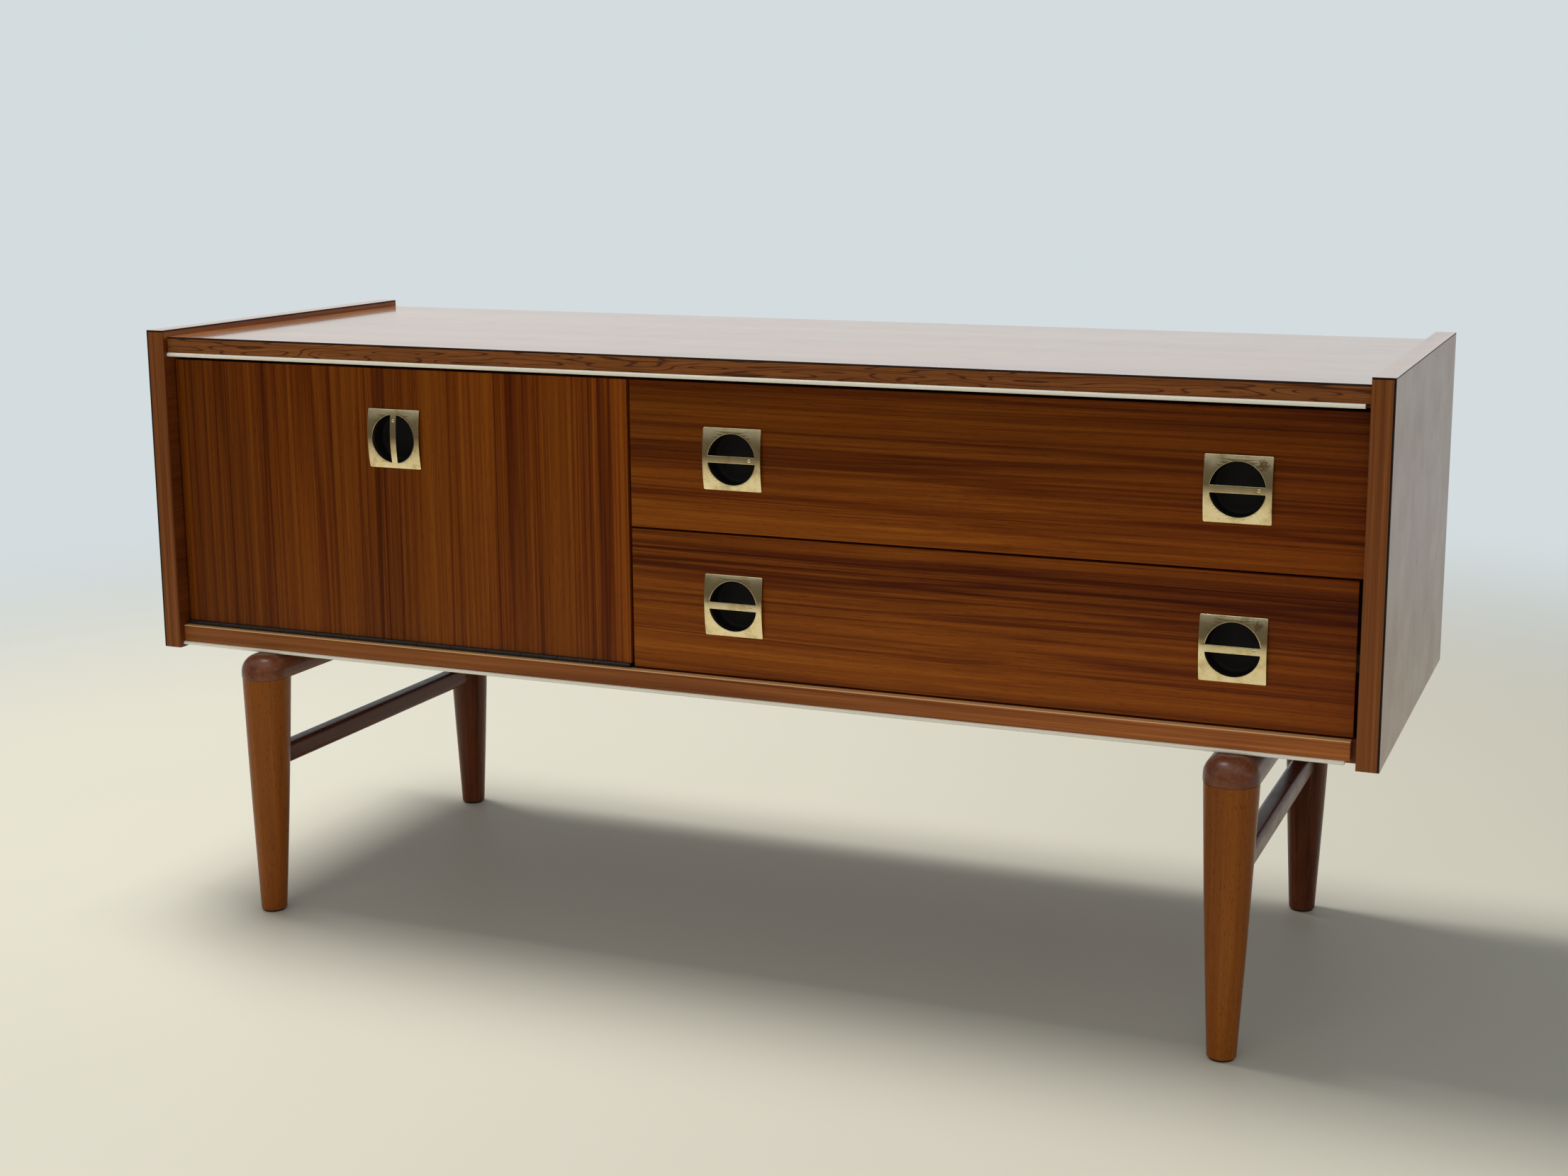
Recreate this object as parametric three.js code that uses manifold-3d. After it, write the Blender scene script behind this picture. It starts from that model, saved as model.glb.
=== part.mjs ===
// A low sideboard on two leg frames: a drop-down flap compartment at the left and two wide
// drawers at the right. Millimetres; +X runs along the front to the right, +Y to the back and
// +Z up. The origin is on the floor, under the middle of the overall footprint.
import * as THREE from "three";
import { mergeVertices } from "three/addons/utils/BufferGeometryUtils.js";
import Module from "manifold-3d";

const wasm = await Module();
wasm.setup();

// ---- Driving dimensions ---------------------------------------------------------------------

// Case
const caseWidth = 1200;
const caseDepth = 410;
const overallHeight = 580;
const legReach = 20; // the leg frames stand this far in front of the side panels
const board = 19;
const laminate = 1;
const edgeStrip = 2; // front edge strip of a side panel
const railDepth = 8; // front edge strips of the top and bottom boards
const railSetback = 7; // their front, behind the front of the side panels
const faceSetback = 15; // flap and drawer faces, behind the front of the side panels
const frontBoard = 18; // flap and drawer fronts
const sideBottom = 261;
const floorUnder = 263;
const floorTop = 283;
const topUnder = 554;
const topSurface = 573.5;
const hardboard = 3;
const backRecess = 6;

// Half-round trims below the two edge strips
const topTrimHeight = 4;
const bottomTrimHeight = 3.5;
const trimNose = 2;
const topTrimShort = 5; // the trims stop short of the right-hand side
const bottomTrimShort = 10;
const bottomRailShort = 5.5;

// Flap and drawer fronts
const frontEdgeGap = 2;
const dividerLeft = -90;
const flapRight = -80;
const drawersLeft = -76.5;
const frontsTop = 550.5;
const flapBottom = 287;
const drawerSplit = 414;
const drawerBottom = 284.5;
const drawerRight = { upper: 579.5, lower: 576 };

// Drawer boxes
const sideGap = 5; // between a drawer box and the case, where the runner sits
const boxBoard = 12;
const boxHeight = 100;
const boxLength = 335;
const boxBottomZ = { upper: 424, lower: 290 };
const plywood = 4;
const bottomGroove = 5;
const bottomLift = 8;
const backDrop = 10;
const runnerHeight = 16;
const runnerLift = 42.5;
const runnerBite = 6;
const runnerPlay = 0.5;

// Handles: a bowed square plate with two half-round openings over a round cup
const plateSize = 56.5;
const plateThick = 1.2;
const plateRise = 3;
const plateGap = 0.1;
const openingRadius = 23.15;
const barWidth = 6.3;
const cupRadius = 24.2;
const cupDepth = 15.5;
const cupWall = 1;
const pocketRadius = 24.5;
const pocketDepth = 16;
const handleZ = { upper: 483, lower: 349.5 };
const flapHandleX = -327;
const flapHandleZ = 484;
const drawerHandleX = { left: 25.5, right: 476.5 };

// Piano hinge of the flap
const knuckleRadius = 2;
const pinRadius = 1;
const pinBore = 1.1;
const leafThick = 0.8;
const leafReach = 16.5;
const leafStart = 2.5;
const knuckleCount = 13;
const knuckleGap = 0.4;
const hingeForward = 1.5; // hinge axis in front of the flap's face
const hingeDrop = 1.8; // hinge axis below the flap's bottom edge

// Flap stay: a rod hinged to the flap slides through a guide that swivels on the side panel.
// The rod's pivot and the guide are equally far from the hinge, so both turn half as fast as
// the flap.
const stayPlaneX = -572;
const stayOnFlap = { y: 28, z: 205 }; // from the hinge axis, flap closed
const guideSetback = 112;
const rodRadius = 2.5;
const rodTail = 12;
const rodEye = 5.5;
const rodEyeWidth = 5;
const stayPin = 2;
const stayPinPlay = 0.1;
const guideRadius = 8;
const guideBore = 3.2;
const stubRadius = 3;
const bracketPlate = 1.5;
const bracketEar = 2;

// Magnetic catch
const catchSize = { x: 40, y: 14, z: 13 };
const catchGap = 0.5;
const strike = { x: 32, y: 1.5, z: 6 };

// Leg frames
const frameX = 481;
const bearerWidth = 48;
const bearerBottom = 240;
const bearerRound = 17;
const bearerRear = 209;
const frontSplay = 7;
const footRadius = 12.5;
const legTopRadius = 23.5;
const legBelly = 0.6; // how far the taper swells past a straight line
const footChamfer = 1;
const tenonRadius = 10;
const tenonLength = 14;
const tenonPlay = 0.3;
const stretcherBottom = 146;
const stretcherTop = 166;
const stretcherThick = 19;
const stretcherRound = 5;
const stretcherTenon = 6;
const stretcherTenonLength = 12;

// ---- Derived places ---------------------------------------------------------------------------

const front = -(caseDepth + legReach) / 2 + legReach;
const back = front + caseDepth;
const outer = caseWidth / 2;
const inner = outer - board;
const railFront = front + railSetback;
const coreFront = railFront + railDepth;
const face = front + faceSetback;
const frontsBack = face + frontBoard;
const backFace = back - backRecess - hardboard;
const dividerRight = dividerLeft + board;
const topCore = topSurface - laminate;
const hinge = { y: face - hingeForward, z: flapBottom - hingeDrop };
const flapLeft = -inner + frontEdgeGap;
const bearerRadius = bearerWidth / 2;
const frontLegY = front - legReach + bearerRadius;
const backLegY = bearerRear - bearerRadius;

// ---- Materials --------------------------------------------------------------------------------

const finish = (colour, roughness, metalness = 0) =>
  new THREE.MeshStandardMaterial({ color: colour, roughness, metalness });
const teakLaminate = finish(0x7a4a1e, 0.35);
const teakEdge = finish(0x6e421c, 0.4);
const flapWood = finish(0x6a3c17, 0.38);
const drawerWood = finish(0x76481d, 0.38);
const particleBoard = finish(0xa88a5e, 0.8);
const boxWood = finish(0xc9a877, 0.6);
const legWood = finish(0x8a5420, 0.35);
const frameWood = finish(0x4e2717, 0.35);
const creamTrim = finish(0xd4cbb4, 0.4);
const brass = finish(0xb08a3c, 0.25, 1);
const blackCup = finish(0x0c0b0a, 0.6);
const blackSteel = finish(0x1b1816, 0.4, 1);
const steel = finish(0x9a9a98, 0.35, 1);
const brownHardboard = finish(0x5d4630, 0.8);

// ---- Solids -----------------------------------------------------------------------------------

// A closed three.js geometry as a solid that can be joined and cut.
function solid(geometry) {
  const bare = geometry.clone();
  bare.deleteAttribute("normal");
  bare.deleteAttribute("uv");
  const merged = mergeVertices(bare, 1e-4);
  const made = new wasm.Manifold(
    new wasm.Mesh({
      numProp: 3,
      vertProperties: merged.attributes.position.array,
      triVerts: new Uint32Array(merged.index.array),
    }),
  );
  return made;
}

function geometryOf(made) {
  const mesh = made.getMesh();
  const geometry = new THREE.BufferGeometry();
  geometry.setAttribute("position", new THREE.BufferAttribute(mesh.vertProperties, 3));
  geometry.setIndex(new THREE.BufferAttribute(mesh.triVerts, 1));
  geometry.computeVertexNormals();
  return geometry;
}

// A box between low and high values on each axis.
function blockGeometry(x, y, z) {
  const middle = (range) => (range[0] + range[1]) / 2;
  const geometry = new THREE.BoxGeometry(x[1] - x[0], y[1] - y[0], z[1] - z[0]);
  return geometry.translate(middle(x), middle(y), middle(z));
}

const block = (x, y, z) => solid(blockGeometry(x, y, z));

// Cylinders with their axis along X or Y, between two places on that axis.
function rodAlongX(radius, x, segments = 24) {
  const geometry = new THREE.CylinderGeometry(radius, radius, x[1] - x[0], segments);
  geometry.rotateZ(Math.PI / 2);
  return solid(geometry.translate((x[0] + x[1]) / 2, 0, 0));
}

function rodAlongY(radius, y, segments = 24) {
  const geometry = new THREE.CylinderGeometry(radius, radius, y[1] - y[0], segments);
  return solid(geometry.translate(0, (y[0] + y[1]) / 2, 0));
}

// A section drawn in Y and Z, extruded along X from x = 0.
function extrudeAlongX(section, length, curveSegments = 12) {
  const geometry = new THREE.ExtrudeGeometry(section, {
    depth: length,
    bevelEnabled: false,
    curveSegments,
  });
  const axes = new THREE.Matrix4().makeBasis(
    new THREE.Vector3(0, 1, 0),
    new THREE.Vector3(0, 0, 1),
    new THREE.Vector3(1, 0, 0),
  );
  return geometry.applyMatrix4(axes);
}

function addPiece(parent, name, geometry, material, position = [0, 0, 0]) {
  const mesh = new THREE.Mesh(geometry, material);
  mesh.name = name;
  mesh.position.set(...position);
  parent.add(mesh);
  return mesh;
}

// A plain board between low and high values on each axis of its parent.
const addBoard = (parent, name, x, y, z, material) =>
  addPiece(parent, name, blockGeometry(x, y, z), material);

// ---- Case -------------------------------------------------------------------------------------

function addSide(parent, side, sign) {
  const ordered = (a, b) => (sign < 0 ? [-b, -a] : [a, b]);
  const core = ordered(inner, outer - laminate);
  const upright = [sideBottom, overallHeight - laminate];
  addBoard(parent, `side_panel_${side}`, core, [front + edgeStrip, back], upright, particleBoard);
  addBoard(parent, `side_edge_strip_${side}`, core, [front, front + edgeStrip], upright, teakEdge);
  const skin = ordered(outer - laminate, outer);
  addBoard(parent, `side_laminate_${side}`, skin, [front, back], upright, teakLaminate);
  const cap = ordered(inner, outer);
  const capZ = [overallHeight - laminate, overallHeight];
  addBoard(parent, `side_top_laminate_${side}`, cap, [front, back], capZ, teakLaminate);
}

// A trim whose front is a half round standing out from the rail.
function trimGeometry(length, height) {
  const section = new THREE.Shape();
  section.moveTo(railDepth, height);
  section.lineTo(0, height);
  section.absellipse(0, height / 2, trimNose, height / 2, Math.PI / 2, (3 * Math.PI) / 2);
  section.lineTo(railDepth, 0);
  section.closePath();
  return extrudeAlongX(section, length, 8);
}

function addCase(parent) {
  addSide(parent, "left", -1);
  addSide(parent, "right", 1);
  const between = [-inner, inner];
  const core = [coreFront, backFace];
  const rail = [railFront, coreFront];
  addBoard(parent, "top_panel", between, core, [topUnder, topCore], particleBoard);
  const topRail = [topUnder + topTrimHeight, topCore];
  addBoard(parent, "top_edge_strip", between, rail, topRail, teakEdge);
  const topSkin = [railFront, backFace + hardboard];
  addBoard(parent, "top_laminate", between, topSkin, [topCore, topSurface], teakLaminate);
  addBoard(parent, "bottom_panel", between, core, [floorUnder, floorTop], particleBoard);
  const bottomRail = [-inner, inner - bottomRailShort];
  const bottomRailZ = [floorUnder + bottomTrimHeight, floorTop];
  addBoard(parent, "bottom_edge_strip", bottomRail, rail, bottomRailZ, teakEdge);
  const opening = [floorTop, topUnder];
  const dividerX = [dividerLeft, dividerRight];
  const dividerY = [frontsBack + frontEdgeGap, backFace];
  addBoard(parent, "divider_panel", dividerX, dividerY, opening, particleBoard);
  const backY = [backFace, backFace + hardboard];
  addBoard(parent, "back_panel", between, backY, [floorUnder, topCore], brownHardboard);

  const topTrim = trimGeometry(2 * inner - topTrimShort, topTrimHeight);
  addPiece(parent, "trim_top", topTrim, creamTrim, [-inner, railFront, topUnder]);
  const bottomTrim = trimGeometry(2 * inner - bottomTrimShort, bottomTrimHeight);
  addPiece(parent, "trim_bottom", bottomTrim, creamTrim, [-inner, railFront, floorUnder]);
}

// ---- Leg frames -------------------------------------------------------------------------------

const legRadiusAt = (z) => {
  const t = z / bearerBottom;
  return footRadius + (legTopRadius - footRadius) * t + legBelly * Math.sin(Math.PI * t);
};

// A turned leg about its own axis, optionally fatter all over, leaning so that its foot is
// lean further along Y than its top.
function legGeometry(lean, fatter = 0) {
  const profile = [new THREE.Vector2(0, 0), new THREE.Vector2(footRadius - footChamfer + fatter, 0)];
  const steps = 5;
  for (let i = 0; i <= steps; i += 1) {
    const z = footChamfer + ((bearerBottom - footChamfer) * i) / steps;
    profile.push(new THREE.Vector2(legRadiusAt(z) + fatter, z));
  }
  profile.push(new THREE.Vector2(tenonRadius, bearerBottom));
  profile.push(new THREE.Vector2(tenonRadius, bearerBottom + tenonLength));
  profile.push(new THREE.Vector2(0, bearerBottom + tenonLength));
  const geometry = new THREE.LatheGeometry(profile, 28).rotateX(Math.PI / 2);
  const place = geometry.attributes.position;
  for (let i = 0; i < place.count; i += 1) {
    const below = Math.max(0, bearerBottom - place.getZ(i));
    place.setY(i, place.getY(i) + (lean * below) / bearerBottom);
  }
  return geometry;
}

// The bearer under the case: a bar with half-round ends and a rounded top edge, with a blind
// socket for each leg's tenon.
function bearerGeometry() {
  const flat = bearerRadius - bearerRound;
  const outline = new THREE.Shape();
  outline.absarc(0, backLegY, flat, 0, Math.PI);
  outline.absarc(0, frontLegY, flat, Math.PI, 2 * Math.PI);
  const height = floorUnder - bearerBottom;
  const bar = new THREE.ExtrudeGeometry(outline, {
    depth: height,
    bevelThickness: bearerRound,
    bevelSize: bearerRound,
    bevelSegments: 4,
    curveSegments: 10,
  });
  bar.translate(0, 0, floorUnder - bearerRound - height);
  const below = block([-outer, outer], [-outer, outer], [0, bearerBottom]);
  let made = solid(bar).subtract(below);
  for (const y of [frontLegY, backLegY]) {
    const depth = tenonLength + tenonPlay;
    const radius = tenonRadius + tenonPlay;
    const socket = new THREE.CylinderGeometry(radius, radius, 2 * depth, 32).rotateX(Math.PI / 2);
    made = made.subtract(solid(socket.translate(0, y, bearerBottom)));
  }
  return geometryOf(made);
}

function roundedBar(width, height, radius) {
  const shape = new THREE.Shape();
  const w = width / 2 - radius;
  const h = height / 2 - radius;
  shape.absarc(w, -h, radius, -Math.PI / 2, 0);
  shape.absarc(w, h, radius, 0, Math.PI / 2);
  shape.absarc(-w, h, radius, Math.PI / 2, Math.PI);
  shape.absarc(-w, -h, radius, Math.PI, 1.5 * Math.PI);
  return shape;
}

function addLegFrame(parent, side, sign) {
  const frame = new THREE.Group();
  frame.position.x = sign * frameX;
  parent.add(frame);
  addPiece(frame, `bearer_${side}`, bearerGeometry(), frameWood);

  const stretcherZ = (stretcherBottom + stretcherTop) / 2;
  const leanAt = (lean) => (lean * (bearerBottom - stretcherZ)) / bearerBottom;
  const ends = [
    { name: "front", y: frontLegY, lean: -frontSplay, inward: 1 },
    { name: "back", y: backLegY, lean: 0, inward: -1 },
  ];
  const section = roundedBar(stretcherThick, stretcherTop - stretcherBottom, stretcherRound);
  const length = backLegY - frontLegY - leanAt(-frontSplay);
  const bar = new THREE.ExtrudeGeometry(section, {
    depth: length,
    bevelEnabled: false,
    curveSegments: 4,
  });
  bar.rotateX(-Math.PI / 2).translate(0, frontLegY + leanAt(-frontSplay), stretcherZ);
  let stretcher = solid(bar);

  for (const end of ends) {
    const centre = end.y + leanAt(end.lean);
    const tip = legRadiusAt(stretcherZ) - stretcherTenonLength;
    const reach = [centre + end.inward * tip, centre + end.inward * bearerWidth];
    const around = (radius, span) =>
      rodAlongY(radius, [Math.min(...span), Math.max(...span)]).translate([0, 0, stretcherZ]);
    const fat = solid(legGeometry(end.lean, tenonPlay)).translate([0, end.y, 0]);
    stretcher = stretcher.subtract(fat).add(around(stretcherTenon, reach));
    const hole = [reach[0] - end.inward * tenonPlay, reach[1]];
    const socket = around(stretcherTenon + tenonPlay, hole).translate([0, -end.y, 0]);
    const leg = solid(legGeometry(end.lean)).subtract(socket);
    addPiece(frame, `leg_${end.name}_${side}`, geometryOf(leg), legWood, [0, end.y, 0]);
  }
  addPiece(frame, `stretcher_${side}`, geometryOf(stretcher), frameWood);
}

// ---- Handles ----------------------------------------------------------------------------------

// The plate is bowed about X: its back touches the front at the top and bottom edges only. The
// bar that the openings leave runs upright on the flap and level on the drawers.
function plateGeometry(upright) {
  const half = plateSize / 2;
  const radius = (half * half + plateRise * plateRise) / (2 * plateRise);
  const centre = radius - plateRise - plateGap;
  const reach = Math.asin(half / radius);
  const section = new THREE.Shape();
  section.absarc(centre, 0, radius + plateThick, Math.PI - reach, Math.PI + reach, false);
  section.absarc(centre, 0, radius, Math.PI + reach, Math.PI - reach, true);
  section.closePath();
  const sheet = extrudeAlongX(section, plateSize, 10).translate(-half, 0, 0);
  const across = [-half, half];
  const bar = [-barWidth / 2, barWidth / 2];
  const through = [-plateSize, plateSize];
  const kept = upright ? block(bar, through, across) : block(across, through, bar);
  const openings = rodAlongY(openingRadius, [-half, half], 32).subtract(kept);
  return geometryOf(solid(sheet).subtract(openings));
}

function cupGeometry() {
  const inside = cupRadius - cupWall;
  const profile = [
    [0, cupDepth - cupWall],
    [inside, cupDepth - cupWall],
    [inside, 0],
    [cupRadius, 0],
    [cupRadius, cupDepth],
    [0, cupDepth],
  ];
  const points = profile.map(([r, y]) => new THREE.Vector2(r, y));
  return new THREE.LatheGeometry(points, 32);
}

function addHandle(parent, prefix, suffix, place, upright) {
  addPiece(parent, `${prefix}_handle_plate${suffix}`, plateGeometry(upright), brass, place);
  addPiece(parent, `${prefix}_handle_cup${suffix}`, cupGeometry(), blackCup, place);
}

// A front board with a blind round pocket behind each handle.
function frontGeometry(x, z, handles) {
  let made = block(x, [face, frontsBack], z);
  for (const [hx, hz] of handles) {
    const pocket = rodAlongY(pocketRadius, [-pocketDepth, pocketDepth], 36);
    made = made.subtract(pocket.translate([hx, face, hz]));
  }
  return geometryOf(made);
}

// ---- Drawers ----------------------------------------------------------------------------------

function addDrawer(parent, level) {
  const name = `drawer_${level}`;
  const z0 = boxBottomZ[level];
  const frontZ = {
    upper: [drawerSplit + frontEdgeGap, frontsTop],
    lower: [drawerBottom, drawerSplit],
  }[level];
  const handles = Object.values(drawerHandleX).map((x) => [x, handleZ[level]]);
  const frontBoardGeometry = frontGeometry([drawersLeft, drawerRight[level]], frontZ, handles);
  addPiece(parent, `${name}_front`, frontBoardGeometry, drawerWood);
  for (const [side, x] of Object.entries(drawerHandleX)) {
    addHandle(parent, name, `_${side}`, [x, face, handleZ[level]], false);
  }

  const boxLeft = dividerRight + sideGap;
  const boxRight = inner - sideGap;
  const along = [frontsBack, frontsBack + boxLength];
  const upright = [z0, z0 + boxHeight];
  const groove = runnerBite + runnerPlay;
  const runnerZ = [z0 + runnerLift - runnerPlay, z0 + runnerLift + runnerHeight + runnerPlay];
  const sheetZ = [z0 + bottomLift, z0 + bottomLift + plywood];
  const sides = {
    left: { x: boxLeft, outward: -1 },
    right: { x: boxRight, outward: 1 },
  };
  for (const [side, { x, outward }] of Object.entries(sides)) {
    const span = (a, b) => [Math.min(a, b), Math.max(a, b)];
    const innerFace = x - outward * boxBoard;
    const plain = block(span(x, innerFace), along, upright);
    const runnerGroove = block(span(x + outward, x - outward * groove), along, runnerZ);
    const sheetGroove = block(span(innerFace, innerFace + outward * bottomGroove), along, sheetZ);
    const made = plain.subtract(runnerGroove).subtract(sheetGroove);
    addPiece(parent, `${name}_side_${side}`, geometryOf(made), boxWood);

    const wall = side === "left" ? dividerRight : inner;
    const runnerX = span(wall, wall - outward * (sideGap + runnerBite));
    const runnerY = [along[0] + groove, backFace - groove];
    const stripZ = [z0 + runnerLift, z0 + runnerLift + runnerHeight];
    addBoard(parent, `runner_${level}_${side}`, runnerX, runnerY, stripZ, boxWood);
  }
  const insideX = [boxLeft + boxBoard, boxRight - boxBoard];
  const backY = [along[1] - boxBoard, along[1]];
  const backZ = [sheetZ[1], z0 + boxHeight - backDrop];
  addBoard(parent, `${name}_back`, insideX, backY, backZ, boxWood);
  const sheetX = [insideX[0] - bottomGroove, insideX[1] + bottomGroove];
  addBoard(parent, `${name}_bottom`, sheetX, along, sheetZ, boxWood);
}

// ---- Flap -------------------------------------------------------------------------------------

// One leaf of the piano hinge about the hinge axis. Its flat lies at height lift, towards +Y,
// and it carries every second knuckle, starting with the first or the second.
function leafGeometry(length, lift, first) {
  const flat = [lift, lift + leafThick];
  let made = block([0, length], [leafStart, leafReach], flat);
  const pitch = length / knuckleCount;
  for (let i = first; i < knuckleCount; i += 2) {
    const span = [i * pitch + knuckleGap / 2, (i + 1) * pitch - knuckleGap / 2];
    const barrel = rodAlongX(knuckleRadius, span, 12).add(block(span, [0, leafStart + 1], flat));
    made = made.add(barrel).subtract(rodAlongX(pinBore, span, 12));
  }
  return geometryOf(made);
}

function addFlap(parent) {
  const length = flapRight - flapLeft;
  const hingeGroup = new THREE.Group();
  hingeGroup.position.set(flapLeft, hinge.y, hinge.z);
  parent.add(hingeGroup);
  addPiece(hingeGroup, "hinge_leaf_moving", leafGeometry(length, hingeDrop - leafThick, 1), blackSteel);
  addPiece(hingeGroup, "hinge_leaf_fixed", leafGeometry(length, floorTop - hinge.z, 0), blackSteel);
  addPiece(hingeGroup, "hinge_pin", geometryOf(rodAlongX(pinRadius, [0, length], 12)), blackSteel);

  const x = [flapLeft, flapRight];
  const place = [flapHandleX, face, flapHandleZ];
  const panel = frontGeometry(x, [flapBottom, frontsTop], [[flapHandleX, flapHandleZ]]);
  addPiece(parent, "flap_panel", panel, flapWood);
  addHandle(parent, "flap", "", place, true);

  const catchX = [dividerLeft - 4 - catchSize.x, dividerLeft - 4];
  const catchY = [frontsBack + strike.y + catchGap, frontsBack + strike.y + catchGap + catchSize.y];
  addBoard(parent, "catch_body", catchX, catchY, [topUnder - catchSize.z, topUnder], blackCup);
  const strikeX = [catchX[0] + 4, catchX[0] + 4 + strike.x];
  const strikeZ = [frontsTop - 1 - strike.z, frontsTop - 1];
  addBoard(parent, "strike_plate", strikeX, [frontsBack, frontsBack + strike.y], strikeZ, steel);
}

function addStay(parent) {
  const reach = Math.hypot(stayOnFlap.y, stayOnFlap.z);
  const guideLift = Math.sqrt(reach * reach - guideSetback * guideSetback);
  const onFlap = [stayPlaneX, hinge.y + stayOnFlap.y, hinge.z + stayOnFlap.z];
  const onSide = [stayPlaneX, hinge.y + guideSetback, hinge.z + guideLift];
  const slope = Math.atan2(onSide[2] - onFlap[2], onSide[1] - onFlap[1]);
  // With the flap open the pivot is stayOnFlap.z in front of the hinge and stayOnFlap.y above.
  const openReach = Math.hypot(guideSetback + stayOnFlap.z, guideLift - stayOnFlap.y);

  const eyeHalf = rodEyeWidth / 2;
  const eye = rodAlongX(rodEye, [-eyeHalf, eyeHalf]);
  const shank = rodAlongY(rodRadius, [rodEye / 2, openReach + rodTail], 16);
  const eyeHole = rodAlongX(stayPin + stayPinPlay, [-rodEyeWidth, rodEyeWidth]);
  const rod = eye.add(shank).subtract(eyeHole);
  addPiece(parent, "stay_rod", geometryOf(rod), steel, onFlap).rotation.x = slope;

  // Bracket on the flap: a foot on the inner face, an ear beside the eye and a headed pin.
  const footY = frontsBack - onFlap[1];
  const earX = [-eyeHalf - 0.5 - bracketEar, -eyeHalf - 0.5];
  const foot = block([earX[0], earX[0] + 16], [footY, footY + bracketPlate], [-14, 14]);
  const ear = block(earX, [footY, rodEye], [-rodEye, rodEye]);
  const pin = rodAlongX(stayPin, [earX[0], eyeHalf + 1.3]);
  const head = rodAlongX(stayPin + 1.4, [eyeHalf + 0.3, eyeHalf + 1.3]);
  const bracket = foot.add(ear).add(pin).add(head);
  addPiece(parent, "stay_flap_bracket", geometryOf(bracket), steel, onFlap);

  // Guide block on a stub of the base plate, bored along the rod.
  const wall = -inner - stayPlaneX;
  const plate = block([wall, wall + bracketPlate], [-14, 14], [-10, 10]);
  const stubEnd = -guideBore - 0.8;
  const base = plate.add(rodAlongX(stubRadius, [wall, stubEnd]));
  addPiece(parent, "stay_base", geometryOf(base), steel, onSide);
  const bodyX = [wall + bracketPlate + 0.3, 6.5];
  const recess = rodAlongX(stubRadius + stayPinPlay, [wall, stubEnd + 0.2]);
  const bore = rodAlongY(guideBore, [-2 * guideRadius, 2 * guideRadius], 16);
  const guide = rodAlongX(guideRadius, bodyX, 24).subtract(recess).subtract(bore);
  addPiece(parent, "stay_guide", geometryOf(guide), blackCup, onSide).rotation.x = slope;
}

// ---- The sideboard ----------------------------------------------------------------------------

const sideboard = new THREE.Group();
addCase(sideboard);
addLegFrame(sideboard, "left", -1);
addLegFrame(sideboard, "right", 1);
addDrawer(sideboard, "upper");
addDrawer(sideboard, "lower");
addFlap(sideboard);
addStay(sideboard);

export default sideboard;
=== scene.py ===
"""Looks of a low teak sideboard: a drop-down flap and two wide drawers on two leg frames.

Metres; X to the right, Y to the back and Z up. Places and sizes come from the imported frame.
"""
import math

import bmesh
import bpy
from mathutils import Euler, Matrix, Vector


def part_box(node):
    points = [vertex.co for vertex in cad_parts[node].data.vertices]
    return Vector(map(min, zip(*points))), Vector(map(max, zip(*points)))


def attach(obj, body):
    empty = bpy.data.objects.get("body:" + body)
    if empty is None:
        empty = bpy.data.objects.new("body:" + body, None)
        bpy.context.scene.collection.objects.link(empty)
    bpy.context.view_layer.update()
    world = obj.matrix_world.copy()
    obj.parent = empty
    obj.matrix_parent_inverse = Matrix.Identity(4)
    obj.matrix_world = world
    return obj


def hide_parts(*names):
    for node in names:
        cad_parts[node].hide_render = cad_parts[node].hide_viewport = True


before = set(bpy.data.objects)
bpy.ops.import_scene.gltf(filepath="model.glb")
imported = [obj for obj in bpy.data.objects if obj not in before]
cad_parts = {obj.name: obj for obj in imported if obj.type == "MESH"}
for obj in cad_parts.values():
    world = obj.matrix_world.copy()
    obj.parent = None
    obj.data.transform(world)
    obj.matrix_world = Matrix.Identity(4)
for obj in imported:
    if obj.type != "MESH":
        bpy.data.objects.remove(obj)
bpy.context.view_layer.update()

MM = 0.001
SHARP = math.radians(35)
FULL = 2 * math.pi

# ---- Camera -----------------------------------------------------------------------------------

CAMERA_PLACE = (0.8211, -1.9113, 0.7714)
CAMERA_YAW = 22.308
CAMERA_PITCH = -10.634
CAMERA_ROLL = 0.217
CAMERA_LENS = 49.66
CAMERA_SHIFT = (-0.0241, -0.0335)


def add_camera():
    """The camera, where it stood for the picture that the sideboard is shown in."""
    data = bpy.data.cameras.new("camera")
    data.lens = CAMERA_LENS
    data.shift_x, data.shift_y = CAMERA_SHIFT
    data.clip_start = 0.05
    camera = bpy.data.objects.new("camera", data)
    bpy.context.scene.collection.objects.link(camera)
    aim = Euler((math.radians(90 + CAMERA_PITCH), 0, math.radians(CAMERA_YAW))).to_matrix()
    aim = aim @ Matrix.Rotation(math.radians(-CAMERA_ROLL), 3, "Z")
    camera.matrix_world = Matrix.Translation(CAMERA_PLACE) @ aim.to_4x4()
    bpy.context.scene.camera = camera


# ---- Materials: node helpers --------------------------------------------------------------------

SOCKETS = {
    "specular": "Specular IOR Level",
    "coat": "Coat Weight",
    "coat_rough": "Coat Roughness",
    "metallic": "Metallic",
}


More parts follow.
